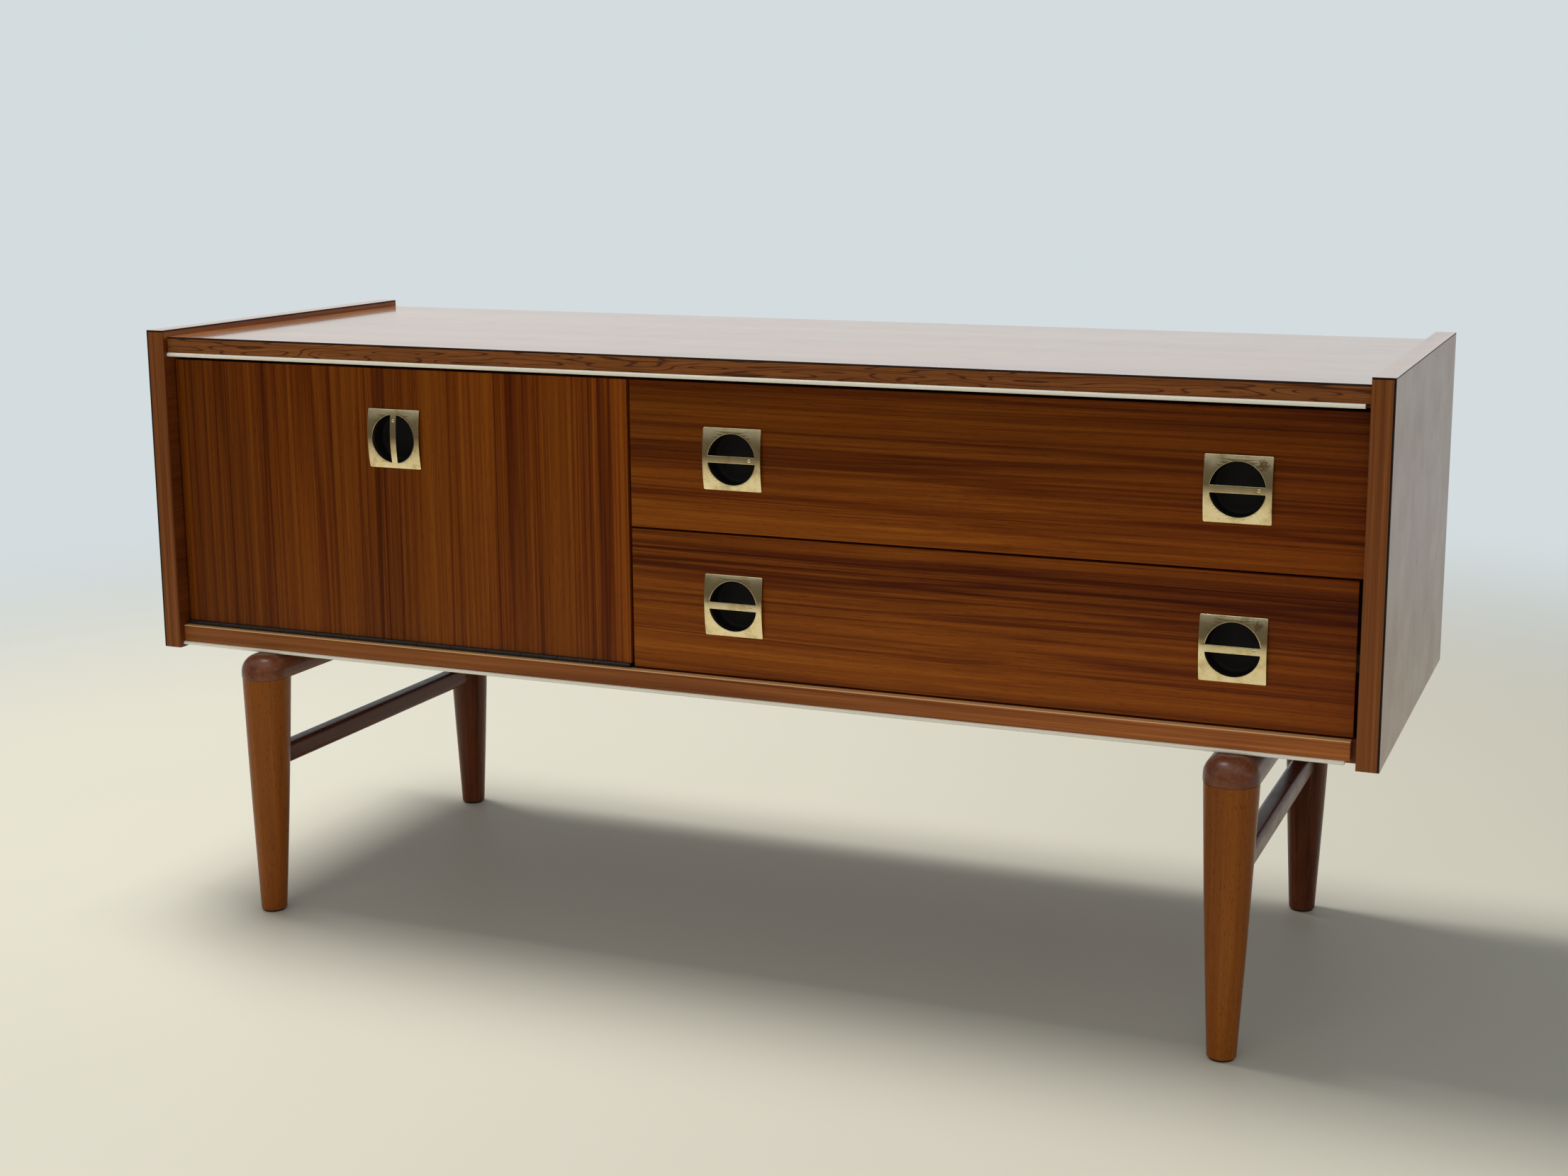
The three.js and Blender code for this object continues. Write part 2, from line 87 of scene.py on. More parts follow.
class Nodes:
    """A node tree, with short calls for the nodes that the materials and the world use."""

    def __init__(self, tree):
        self.tree = tree

    def node(self, kind, inputs=None, **settings):
        made = self.tree.nodes.new("ShaderNode" + kind)
        for key, value in settings.items():
            setattr(made, key, value)
        for socket, value in (inputs or {}).items():
            self.feed(made.inputs[socket], value)
        return made

    def feed(self, socket, value):
        if isinstance(value, bpy.types.NodeSocket):
            self.tree.links.new(value, socket)
        else:
            socket.default_value = value

    def math(self, operation, a, b=0.0):
        return self.node("Math", {0: a, 1: b}, operation=operation).outputs[0]

    def vector(self, operation, a, b):
        return self.node("VectorMath", {0: a, 1: b}, operation=operation).outputs[0]

    def coords(self):
        return self.node("TexCoord").outputs["Object"]

    def part(self, vector, axis):
        return self.node("SeparateXYZ", {0: vector}).outputs[axis]

    def warped(self, frequency, amount):
        """Object coordinates, pushed about softly: amount is in metres on each axis."""
        place = self.vector("MULTIPLY", self.coords(), frequency)
        push = self.node("TexNoise", {"Vector": place, "Scale": 1.0, "Detail": 1.0}).outputs["Color"]
        push = self.vector("MULTIPLY", self.vector("SUBTRACT", push, (0.5, 0.5, 0.5)), amount)
        return self.vector("ADD", self.coords(), push)

    def noise(self, vector, frequency, detail=3.0, rough=0.5, offset=0.0):
        """Noise with its own frequency, per metre, on each axis."""
        place = self.vector("MULTIPLY", vector, frequency)
        place = self.vector("ADD", place, (offset, offset, offset))
        settings = {"Vector": place, "Scale": 1.0, "Detail": detail, "Roughness": rough}
        return self.node("TexNoise", settings).outputs[0]

    def ramp(self, value, stops, smooth=False):
        made = self.node("ValToRGB", {0: value})
        elements = made.color_ramp.elements
        made.color_ramp.interpolation = "EASE" if smooth else "LINEAR"
        while len(elements) < len(stops):
            elements.new(0.5)
        for element, (position, colour) in zip(elements, stops):
            element.position = position
            grey = isinstance(colour, (int, float))
            element.color = (colour, colour, colour, 1) if grey else (*colour, 1)
        return made.outputs[0]

    def blend(self, mode, amount, a, b):
        made = self.node("Mix", data_type="RGBA", blend_type=mode)
        for socket, value in ((made.inputs[0], amount), (made.inputs[6], a), (made.inputs[7], b)):
            is_colour = isinstance(value, tuple)
            self.feed(socket, (*value, 1) if is_colour else value)
        return made.outputs[2]

    def faces(self, axis):
        """1 on faces square to an axis of the object and 0 on the others."""
        normal = self.part(self.node("TexCoord").outputs["Normal"], axis)
        return self.math("GREATER_THAN", self.math("ABSOLUTE", normal), 0.7)


class Shader(Nodes):
    """A material. finish gives constant values of its Principled BSDF, by the names in SOCKETS."""

    def __init__(self, name, **finish):
        self.material = bpy.data.materials.new(name)
        self.material.use_nodes = True
        super().__init__(self.material.node_tree)
        self.bsdf = self.tree.nodes["Principled BSDF"]
        for socket, value in finish.items():
            self.bsdf.inputs[SOCKETS[socket]].default_value = value

    def bump(self, height, strength, distance):
        inputs = {"Height": height, "Strength": strength, "Distance": distance}
        self.feed(self.bsdf.inputs["Normal"], self.node("Bump", inputs).outputs[0])

    def colour(self, value):
        self.feed(self.bsdf.inputs["Base Color"], value)

    def roughness(self, value):
        self.feed(self.bsdf.inputs["Roughness"], value)


AXES = {"X": 0, "Y": 1, "Z": 2}


def along_grain(axis, across, along):
    """A frequency on each axis, for a pattern drawn out along the grain."""
    return tuple(along if i == AXES[axis] else across for i in range(3))


# ---- Materials: woods ---------------------------------------------------------------------------


def wood_tones(dark, middle, light):
    """Stops of a colour ramp, from the wood's dark streaks to its light ones."""
    return (0.25, dark), (0.5, middle), (0.75, light)


def add_grain(shader, axis, tones, wave=(0.6, 0.0), weights=(0.4, 0.6, 0.5), bands=22, streaks=210,
              fibres=900, lines=0.5, line_count=85, seed=0.0):
    """Wood colour: broad bands, streaks and fibres along the grain, with thin dark lines.

    wave is the frequency and the size, in metres, of the grain's slow sideways drift.
    """
    drift = [wave[1]] * 3
    drift[AXES[axis]] = 0.0
    space = shader.warped(along_grain(axis, wave[0] * 0.8, wave[0]), tuple(drift))
    parts = (
        shader.noise(space, along_grain(axis, bands, 0.35), 2.0, 0.5, seed),
        shader.noise(space, along_grain(axis, streaks, 1.1), 4.0, 0.6, seed + 3.7),
        shader.noise(space, along_grain(axis, fibres, 9.0), 3.0, 0.6, seed + 7.1),
    )
    value = 0.5
    for part, weight in zip(parts, weights):
        swing = shader.math("MULTIPLY", shader.math("SUBTRACT", part, 0.5), weight)
        value = shader.math("ADD", value, swing)
    colour = shader.ramp(value, tones)
    crowd = shader.ramp(parts[0], ((0.42, 1.0), (0.6, 0.35)))
    for count, strength in ((line_count, lines), (line_count * 2.7, lines * 0.6)):
        vein = shader.noise(space, along_grain(axis, count, 0.9), 1.5, 0.5, seed + count)
        vein = shader.math("ABSOLUTE", shader.math("SUBTRACT", vein, 0.5))
        vein = shader.ramp(vein, ((0.0, 1.0), (0.03, 0.7), (0.075, 0.0)))
        amount = shader.math("MULTIPLY", shader.math("MULTIPLY", vein, strength), crowd)
        colour = shader.blend("MULTIPLY", amount, colour, (0.40, 0.22, 0.14))
    return colour, space


def sink_pores(shader, axis, space, strength=0.25):
    """Short pores along the grain, sunk a little into the surface. Gives their mask."""
    pores = shader.noise(space, along_grain(axis, 1500, 70), 2.0, 0.5, 17.9)
    pores = shader.ramp(pores, ((0.6, 0.0), (0.7, 1.0)))
    shader.bump(shader.math("SUBTRACT", 1.0, pores), strength, 0.05 * MM)
    return pores


def add_pores(shader, axis, space, colour, amount=0.5, strength=0.25):
    """Sunk pores, darker than the wood by amount."""
    pores = sink_pores(shader, axis, space, strength)
    return shader.blend("MULTIPLY", shader.math("MULTIPLY", pores, amount), colour, (0.4, 0.26, 0.2))


def polish(shader, low, high, scale=18.0):
    """A roughness between low and high, in soft patches, as a handled polish has."""
    patches = shader.noise(shader.coords(), (scale,) * 3, 3.0, 0.6, 5.3)
    return shader.ramp(patches, ((0.3, low), (0.7, high)))


def add_gloss(shader, low, high, scale=18.0):
    shader.roughness(polish(shader, low, high, scale))


TEAK_DARK = (0.100, 0.020, 0.0016)
TEAK_RED = (0.165, 0.038, 0.0028)
TEAK_MID = (0.225, 0.058, 0.0042)
TEAK_GOLD = (0.310, 0.094, 0.0080)
TEAK_TONES = ((0.2, TEAK_DARK), (0.42, TEAK_RED), (0.58, TEAK_MID), (0.8, TEAK_GOLD))


def across_shade(shader, axis, low, high, stops):
    """A factor that changes from low to high along an axis of the object."""
    place = shader.part(shader.coords(), AXES[axis])
    share = shader.node("MapRange", {"Value": place, "From Min": low, "From Max": high}).outputs[0]
    return shader.ramp(share, stops)


def flap_teak():
    """The flap's upright grain, in darker and lighter zones from left to right: partly the wood's own
    tone and partly painted light.
    """
    shader = Shader("flap_teak", specular=0.1, coat=0.03, coat_rough=0.1)
    colour, space = add_grain(shader, "Z", TEAK_TONES, wave=(1.1, 0.006), lines=0.8, seed=2.0)
    low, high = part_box("flap_panel")
    # Zones across the flap: partly the wood's own tone and partly painted light, darker at the left and
    # brighter towards the right end.
    zones = ((0.0, 0.8), (0.1, 0.78), (0.2, 0.88), (0.3, 1.02), (0.4, 0.92), (0.5, 0.82), (0.58, 0.98),
             (0.7, 1.1), (0.78, 1.0), (0.86, 1.05), (0.94, 1.15), (0.985, 1.4))
    colour = shader.blend("MULTIPLY", 1.0, colour, across_shade(shader, "X", low.x, high.x, zones))
    shader.colour(add_pores(shader, "Z", space, colour))
    add_gloss(shader, 0.22, 0.3)
    return shader.material


def drawer_teak():
    """The drawer fronts' level grain, lighter below and darker towards the right, partly in painted
    shade.
    """
    shader = Shader("drawer_teak", specular=0.1, coat=0.03, coat_rough=0.1)
    colour, space = add_grain(shader, "X", TEAK_TONES, wave=(1.3, 0.014), lines=0.95, seed=9.0)
    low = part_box("drawer_lower_front")[0]
    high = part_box("drawer_upper_front")[1]
    # Painted shade: darker towards the top, under the top's overhang, mixed with the wood's own tone.
    zones = ((0.0, 1.2), (0.12, 1.3), (0.3, 1.12), (0.42, 0.98), (0.52, 1.2), (0.62, 1.18), (0.74, 0.95),
             (0.86, 0.82), (1.0, 0.78))
    colour = shader.blend("MULTIPLY", 1.0, colour, across_shade(shader, "Z", low.z, high.z, zones))
    # Darker and redder towards the right: partly the wood's own tone and partly painted light falloff.
    ends = ((0.0, (1.06, 1.1, 1.1)), (0.5, 1.0), (1.0, (0.85, 0.74, 0.7)))
    colour = shader.blend("MULTIPLY", 1.0, colour, across_shade(shader, "X", low.x, high.x, ends))
    shader.colour(add_pores(shader, "X", space, colour))
    add_gloss(shader, 0.22, 0.3)
    return shader.material


# Near-black of a laminate's cut core, also used as painted shadow beside the glue joints.
CUT_EDGE_AND_SHADOW = (0.006, 0.005, 0.005)
# Width of a dark glue line: the glue joint, widened with painted shadow.
GLUE_AND_SHADOW_WIDTH = 0.8 * MM


def glue_and_shadow_line(shader, colour, axis, place):
    """Darkens a strip, on both sides of the middle, where its laminate sheet is glued on: a dark glue
    joint, widened with painted shadow along it.
    """
    away = shader.math("ABSOLUTE", shader.part(shader.coords(), AXES[axis]))
    near = shader.math("GREATER_THAN", away, place - GLUE_AND_SHADOW_WIDTH)
    return shader.blend("MIX", near, colour, CUT_EDGE_AND_SHADOW)


def veined_edge():
    """The top's front edge strip: wavy dark veins over a plain brown."""
    shader = Shader("veined_edge", specular=0.15, coat=0.03, coat_rough=0.15)
    tones = wood_tones((0.15, 0.045, 0.010), (0.24, 0.080, 0.020), (0.32, 0.120, 0.032))
    colour, space = add_grain(shader, "X", tones, wave=(5.0, 0.012), streaks=230, lines=0.3, seed=4.0)
    rings = shader.noise(space, along_grain("X", 120, 8.0), 1.0, 0.4, 21.0)
    rings = shader.math("PINGPONG", shader.math("MULTIPLY", rings, 10.0), 0.5)
    veins = shader.ramp(rings, ((0.0, 1.0), (0.06, 0.8), (0.14, 0.0)))
    colour = shader.blend("MIX", shader.math("MULTIPLY", veins, 0.85), colour, (0.055, 0.014, 0.006))
    colour = add_pores(shader, "X", space, colour)
    # Dark glue line along the top: the glue joint, widened with painted shadow under the laminate's
    # edge.
    shader.colour(glue_and_shadow_line(shader, colour, "Z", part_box("top_edge_strip")[1].z))
    add_gloss(shader, 0.3, 0.4)
    return shader.material


def plain_edge(name, axis, seed):
    """Solid edging, plainer than the fronts. Its colour is finished by the caller."""
    shader = Shader(name, specular=0.15, coat=0.03, coat_rough=0.2)
    tones = wood_tones((0.13, 0.036, 0.008), (0.24, 0.077, 0.018), (0.35, 0.125, 0.034))
    colour, space = add_grain(shader, axis, tones, wave=(2.0, 0.003), streaks=330, lines=0.5, seed=seed)
    sink_pores(shader, axis, space)
    add_gloss(shader, 0.32, 0.42)
    return shader, colour


# Depth of the painted highlight along the top of the bottom edging.
PAINTED_HIGHLIGHT_BAND = 0.9 * MM


def rail_edge():
    """Level edging of the bottom board, with painted light: paler towards its right end and a painted
    highlight along its top.
    """
    shader, colour = plain_edge("rail_edge", "X", 26.0)
    low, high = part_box("bottom_edge_strip")
    # Painted light: paler towards the right end.
    fade = across_shade(shader, "X", low.x, high.x, ((0.0, 1.0), (0.5, 1.15), (1.0, 1.85)))
    colour = shader.blend("MULTIPLY", 1.0, colour, fade)
    # Painted highlight on the top face and upper arris, where light from above grazes it.
    arris = shader.math("GREATER_THAN", shader.part(shader.coords(), 2), high.z - PAINTED_HIGHLIGHT_BAND)
    shader.colour(shader.blend("MIX", arris, colour, (0.78, 0.44, 0.20)))
    return shader.material


def side_edge():
    """Upright edging of the sides, with the glue line of the outer laminate and of the top one, widened
    with painted shadow.
    """
    shader, colour = plain_edge("side_edge", "Z", 23.0)
    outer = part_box("side_edge_strip_right")[1]
    # Glue lines along the outer and top laminates, widened with painted shadow.
    colour = glue_and_shadow_line(shader, colour, "X", outer.x)
    shader.colour(glue_and_shadow_line(shader, colour, "Z", outer.z))
    return shader.material


def laminate(name, axis, sheet_axis, tones, gloss, coat, seed):
    """Glossy laminate sheet with fine straight grain. Its cut edges show a near-black core."""
    shader = Shader(name, coat_rough=0.08)
    colour = add_grain(shader, axis, tones, wave=(0.8, 0.01), bands=14, lines=0.4, seed=seed)[0]
    sheet = shader.faces(AXES[sheet_axis])
    shader.colour(shader.blend("MIX", sheet, CUT_EDGE_AND_SHADOW, colour))
    shader.feed(shader.bsdf.inputs["Coat Weight"], shader.math("MULTIPLY", sheet, coat))
    shader.roughness(shader.blend("MIX", sheet, (0.8, 0.8, 0.8), polish(shader, *gloss)))
    return shader.material


def case_board():
    """Case boards: teak laminate on the large faces and pale chipboard on the back edges, in painted
    shade below the top.
    """
    shader = Shader("case_board", specular=0.3)
    tones = ((0.2, (0.16, 0.040, 0.005)), (0.5, (0.33, 0.100, 0.012)), (0.8, (0.46, 0.160, 0.022)))
    colour = add_grain(shader, "Y", tones, wave=(1.5, 0.004), lines=0.35, seed=13.0)[0]
    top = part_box("top_panel")[1].z
    # Painted shade: the boards are darkened below the top's upper face, where the inside of the case
    # lies in shade; the sides' rim above the top keeps its full tone.
    inside = (0.5, 0.38, 0.4)
    shade = across_shade(shader, "Z", 0.0, top, ((0.0, inside), (0.995, inside), (1.0, 1.0)))
    colour = shader.blend("MULTIPLY", 1.0, colour, shade)
    # Dark glue line along the sides' top edge, widened with painted shadow.
    colour = glue_and_shadow_line(shader, colour, "Z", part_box("side_panel_left")[1].z)
    cut = shader.math("GREATER_THAN", shader.part(shader.node("TexCoord").outputs["Normal"], 1), 0.7)
    chips = shader.node("TexVoronoi", {"Vector": shader.coords(), "Scale": 520.0}, feature="F1")
    chips = shader.ramp(chips.outputs["Color"], ((0.0, (0.30, 0.19, 0.10)), (1.0, (0.52, 0.38, 0.22))))
    shader.colour(shader.blend("MIX", cut, colour, chips))
    add_gloss(shader, 0.38, 0.5)
    return shader.material


def leg_beech():
    """Stained beech: even golden brown with short darker flecks."""
    shader = Shader("leg_beech", specular=0.12, coat=0.05, coat_rough=0.2)
    tones = wood_tones((0.18, 0.046, 0.0040), (0.24, 0.068, 0.0065), (0.30, 0.095, 0.0110))
    colour, space = add_grain(shader, "Z", tones, wave=(3.0, 0.004), weights=(0.9, 0.6, 0.5), bands=34,
                              streaks=170, lines=0.12, seed=6.0)
    flecks = shader.noise(space, along_grain("Z", 1100, 190), 1.0, 0.5, 31.0)
    flecks = shader.ramp(flecks, ((0.6, 0.0), (0.68, 1.0)))
    flecks = shader.math("MULTIPLY", flecks, 0.55)
    shader.colour(shader.blend("MULTIPLY", flecks, colour, (0.5, 0.38, 0.3)))
    add_gloss(shader, 0.26, 0.36, 40.0)
    return shader.material


def dark_beech(name, axis, tones, coat, seed):
    """The darker, redder stain of the back legs, the bearers and the stretchers."""
    shader = Shader(name, specular=0.15, coat=coat, coat_rough=0.34)
    colour, space = add_grain(shader, axis, tones, wave=(3.0, 0.003), weights=(0.9, 0.8, 0.6), bands=40,
                              streaks=240, lines=0.35, seed=seed)
    shader.colour(add_pores(shader, axis, space, colour, 0.5, 0.05))
    add_gloss(shader, 0.24, 0.36, 40.0)
    return shader.material


def box_wood():
    """Unstained wood of the drawer boxes and the runners."""
    shader = Shader("box_wood", specular=0.3)
    tones = wood_tones((0.42, 0.26, 0.125), (0.52, 0.34, 0.175), (0.60, 0.42, 0.235))
    colour, space = add_grain(shader, "Y", tones, wave=(1.5, 0.012), streaks=90, lines=0.12, seed=19.0)
    shader.colour(add_pores(shader, "Y", space, colour, 0.2, 0.2))
    add_gloss(shader, 0.5, 0.62)
    return shader.material


def hardboard():
    """The back: brown pressed fibre, with a mesh pattern as its rough side has."""
    shader = Shader("hardboard")
    fibres = shader.noise(shader.coords(), (260, 260, 260), 5.0, 0.7, 3.0)
    shader.colour(shader.ramp(fibres, ((0.3, (0.115, 0.062, 0.030)), (0.7, (0.21, 0.125, 0.066)))))
    weave = shader.vector("MULTIPLY", shader.coords(), (2600, 1, 2600))
    across = shader.math("SINE", shader.part(weave, 0))
    upright = shader.math("SINE", shader.part(weave, 2))
    height = shader.math("ADD", shader.math("MULTIPLY", across, upright), fibres)
    shader.bump(height, 0.35, 0.2 * MM)
    shader.roughness(shader.ramp(fibres, ((0.3, 0.7), (0.7, 0.85))))
    return shader.material


# ---- Materials: metals and plastics -----------------------------------------------------------


STAIN_REACH = 9 * MM
STAIN_INSET = 8 * MM


def brass(stains):
    """Polished brass with a thin uneven tarnish and a brown stain at each place in stains."""
    shader = Shader("brass", metallic=1.0)
    film = shader.noise(shader.coords(), (70, 70, 70), 4.0, 0.65, 1.0)
    tones = ((0.35, (0.93, 0.80, 0.50)), (0.52, (0.86, 0.71, 0.40)), (0.7, (0.58, 0.46, 0.23)))
    colour = shader.ramp(film, tones)
    specks = shader.noise(shader.coords(), (900, 900, 900), 2.0, 0.5, 8.0)
    specks = shader.ramp(specks, ((0.68, 0.0), (0.74, 1.0)))
    ragged = shader.node("TexNoise", {"Vector": shader.coords(), "Scale": 500.0}).outputs["Color"]
    ragged = shader.vector("SUBTRACT", ragged, (0.5, 0.5, 0.5))
    ragged = shader.vector("MULTIPLY", ragged, (0.012, 0.012, 0.012))
    place = shader.vector("ADD", shader.coords(), ragged)
    for stain in stains:
        away = shader.node("VectorMath", {0: place, 1: stain}, operation="DISTANCE").outputs["Value"]
        spot = shader.ramp(shader.math("MULTIPLY", away, 1 / STAIN_REACH), ((0.3, 1.0), (0.62, 0.0)))
        specks = shader.math("MAXIMUM", specks, spot)
    colour = shader.blend("MIX", shader.math("MULTIPLY", specks, 0.85), colour, (0.16, 0.055, 0.016))
    shader.colour(colour)
    rough = shader.ramp(film, ((0.3, 0.06), (0.75, 0.18)))
    shader.roughness(shader.math("ADD", rough, shader.math("MULTIPLY", specks, 0.3)))
    ripple = shader.noise(shader.coords(), (45, 45, 45), 1.0, 0.5, 2.0)
    shader.bump(ripple, 0.08, 0.4 * MM)
    return shader.material


def mottled(name, dark, light, rough, metallic=0.0, specular=0.5, frequency=300.0, strength=0.1):
    """A plain finish with a fine mottle in its colour, gloss and surface."""
    shader = Shader(name, metallic=metallic, specular=specular)
    grain = shader.noise(shader.coords(), (frequency,) * 3, 4.0, 0.6, 2.0)
    shader.colour(shader.ramp(grain, ((0.3, dark), (0.7, light))))
    shader.roughness(shader.ramp(grain, ((0.3, rough[0]), (0.7, rough[1]))))
    shader.bump(grain, strength, 0.1 * MM)
    return shader.material


# ---- Mesh helpers -------------------------------------------------------------------------------


def loft(bm, rings):
    """A closed solid through rings of points, each with as many points, capped at both ends."""
    rows = [[bm.verts.new(point) for point in ring] for ring in rings]
    count = len(rows[0])
    for low, high in zip(rows, rows[1:]):
        for i in range(count):
            j = (i + 1) % count
            bm.faces.new((low[i], low[j], high[j], high[i]))
    bm.faces.new(rows[0])
    bm.faces.new(rows[-1])


def circle(centre, radius, u, v, count=48):
    """Points round a centre, in the plane of the directions u and v."""
    turns = [FULL * i / count for i in range(count)]
    return [centre + radius * (math.cos(a) * u + math.sin(a) * v) for a in turns]


def turned(bm, base, axis, profile, count=48):
    """A solid turned about an axis. profile holds (radius, distance along the axis) pairs."""
    u = axis.orthogonal().normalized()
    v = axis.cross(u)
    loft(bm, [circle(base + axis * place, radius, u, v, count) for radius, place in profile])


def block(bm, low, high, edge=0.0):
    """A box between two corners, with its edges rounded when edge is above 0."""
    made = bmesh.ops.create_cube(bm, size=1.0)["verts"]
    for vert in made:
        for i in range(3):
            vert.co[i] = low[i] if vert.co[i] < 0 else high[i]
    if edge > 0:
        edges = list({e for vert in made for e in vert.link_edges})
        bmesh.ops.bevel(bm, geom=edges, offset=edge, segments=2, profile=0.5, affect="EDGES")


def rounded_section(u, v, width, height, radius, steps=6):
    """Points round a rectangle with rounded corners, centred on the origin."""
    points = []
    for corner, (su, sv) in enumerate(((1, -1), (1, 1), (-1, 1), (-1, -1))):
        start = -math.pi / 2 + corner * math.pi / 2
        for i in range(steps + 1):
            a = start + i * math.pi / 2 / steps
            across = su * (width / 2 - radius) + radius * math.cos(a)
            upward = sv * (height / 2 - radius) + radius * math.sin(a)
            points.append(across * u + upward * v)
    return points


def made_object(name, bm, material):
    """The finished mesh as an object in the scene, smooth but for its sharp edges."""
    bmesh.ops.recalc_face_normals(bm, faces=bm.faces)
    mesh = bpy.data.meshes.new(name)
    bm.to_mesh(mesh)
    bm.free()
    mesh.materials.append(material)
    mesh.polygons.foreach_set("use_smooth", [True] * len(mesh.polygons))
    mesh.set_sharp_from_angle(angle=SHARP)
    made = bpy.data.objects.new(name, mesh)
    bpy.context.scene.collection.objects.link(made)
    return made


def add_piece(name, bm, material, body, slot, *nodes):
    """A finished mesh as a piece that rides on a body and stands for CAD nodes."""
    made = made_object(name, bm, material)
    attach(made, body)
    if nodes:
        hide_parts(*nodes)


def dress(node, material, edge=0.0):
    """A CAD node with its own shape, given a material and slightly rounded edges."""
    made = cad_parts[node]
    made.data.materials.clear()
    made.data.materials.append(material)
    if edge > 0:
        weld = made.modifiers.new("weld", "WELD")
        weld.merge_threshold = 0.002 * MM
        rounding = made.modifiers.new("edges", "BEVEL")
        rounding.width = edge
        rounding.segments = 2
        rounding.limit_method = "ANGLE"
        rounding.angle_limit = SHARP


# ---- Case ---------------------------------------------------------------------------------------


def dress_case(woods):
    """Materials of the boards, strips, laminates and back."""
    for side in ("left", "right"):
        dress(f"side_panel_{side}", woods["case_board"])
        dress(f"side_edge_strip_{side}", woods["side_edge"], 0.25 * MM)
        dress(f"side_laminate_{side}", woods["side_laminate"], 0.2 * MM)
        dress(f"side_top_laminate_{side}", woods["cap_laminate"], 0.2 * MM)
    for node in ("top_panel", "bottom_panel", "divider_panel"):
        dress(node, woods["case_board"])
    dress("top_edge_strip", woods["veined_edge"], 0.2 * MM)
    dress("top_laminate", woods["top_laminate"], 0.2 * MM)
    dress("bottom_edge_strip", woods["bottom_edge"], 0.6 * MM)
    dress("back_panel", woods["hardboard"], 0.3 * MM)


TRIM_NOSE = 2 * MM


def add_trim(node, material):
    """A half-round trim, standing out from its rail by its nose."""
    low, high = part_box(node)
    height = high.z - low.z
    middle = (low.z + high.z) / 2
    nose = low.y + TRIM_NOSE
    outline = [(high.y, low.z), (high.y, high.z)]
    steps = 20
    for i in range(steps + 1):
        a = math.pi / 2 + math.pi * i / steps
        outline.append((nose + TRIM_NOSE * math.cos(a), middle + height / 2 * math.sin(a)))
    bm = bmesh.new()
    loft(bm, [[Vector((x, y, z)) for y, z in outline] for x in (low.x, high.x)])
    add_piece(node.replace("trim", "half_round"), bm, material, "case", "cream_trim", node)


NAIL_STEP = 95 * MM
NAIL_INSET = 9 * MM
NAIL_RADIUS = 2.6 * MM


def add_back_nails(material):
    """Flat nail heads round the back panel's edge and down the divider."""
    low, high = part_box("back_panel")
    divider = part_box("divider_panel")
    places = []
    across = round((high.x - low.x) / NAIL_STEP)
    for i in range(across + 1):
        x = low.x + NAIL_INSET + (high.x - low.x - 2 * NAIL_INSET) * i / across
        places += [(x, low.z + NAIL_INSET), (x, high.z - NAIL_INSET)]
    middle = (divider[0].x + divider[1].x) / 2
    for share in (0.3, 0.5, 0.7):
        z = low.z + (high.z - low.z) * share
        places += [(low.x + NAIL_INSET, z), (middle, z), (high.x - NAIL_INSET, z)]
    bm = bmesh.new()
    for x, z in places:
        start = Vector((x, high.y - 0.6 * MM, z))
        profile = ((NAIL_RADIUS, 0), (NAIL_RADIUS, 0.8 * MM), (NAIL_RADIUS - 0.4 * MM, 1.1 * MM))
        turned(bm, start, Vector((0, 1, 0)), profile, 16)
    add_piece("back_panel_nails", bm, material, "case", "zinc_steel")


# ---- Leg frames -----------------------------------------------------------------------------------

LEG_BELLY = 0.6 * MM
BEARER_ROUND = 17 * MM
GLIDE = 1.3 * MM
FOOT_FLARE = 1.0 * MM
STRETCHER_ROUND = 5 * MM
STRETCHER_TENON = 7 * MM


def ends_of(node):
    """The foot's centre and radius and the shoulder's, from the leg's own rings of points."""
    points = [v.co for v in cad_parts[node].data.vertices]
    shoulder_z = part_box(node.replace("leg_front", "bearer").replace("leg_back", "bearer"))[0].z
    found = []
    for z in (0.0, shoulder_z):
        ring = [p for p in points if abs(p.z - z) < 0.01 * MM]
        low = min(p.y for p in ring)
        high = max(p.y for p in ring)
        x = (min(p.x for p in ring) + max(p.x for p in ring)) / 2
        found.append((Vector((x, (low + high) / 2, z)), (high - low) / 2))
    return found


def add_leg(node, material, glide_material):
    """A tapered leg with a slight belly, and the glide under its foot."""
    (foot, foot_radius), (shoulder, top_radius) = ends_of(node)
    foot_radius += FOOT_FLARE
    lean = (shoulder - foot) / shoulder.z
    steps = 24

    def ring(z, radius):
        return circle(foot + lean * z, radius, Vector((1, 0, 0)), Vector((0, 1, 0)), 64)

    rings = [ring(GLIDE, foot_radius - 1.2 * MM), ring(GLIDE + 0.4 * MM, foot_radius - 0.5 * MM)]
    for i in range(steps + 1):
        z = 2.4 * MM + (shoulder.z - 2.4 * MM) * i / steps
        t = z / shoulder.z
        swell = LEG_BELLY * math.sin(math.pi * t)
        rings.append(ring(z, foot_radius + (top_radius - foot_radius) * t + swell))
    bm = bmesh.new()
    loft(bm, rings)
    add_piece(node.replace("leg", "turned_leg"), bm, material, "case", "leg_beech", node)
    bm = bmesh.new()
    loft(bm, [ring(0.0, foot_radius - 1.6 * MM), ring(GLIDE, foot_radius - 1.4 * MM)])
    add_piece(node.replace("leg", "glide"), bm, glide_material, "case", "black_cup")


